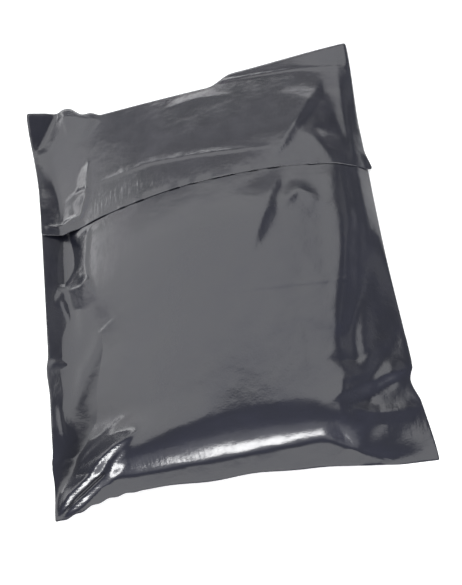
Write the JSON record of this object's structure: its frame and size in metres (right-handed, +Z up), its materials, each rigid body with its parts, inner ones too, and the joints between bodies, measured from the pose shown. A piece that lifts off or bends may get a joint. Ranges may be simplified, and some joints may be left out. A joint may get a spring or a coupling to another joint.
{
  "type": "poly mailer bag",
  "caption": "Filled and sealed grey polythene mailing bag with a folded-over, stuck-down flap, lying on its back panel.",
  "frame": {"origin": "on the floor, below the middle of the bag's bounding box", "axes": "+X across the bag's width, +Y along its length from the bottom weld to the flap's fold, +Z up, out of the front panel"},
  "size_m": [0.252, 0.3218, 0.035],
  "materials": {
    "poly_film": "semi-gloss, finely creased"
  },
  "bodies": {
    "root": {"mailer_bag": "poly_film"}
  },
  "joints": []
}
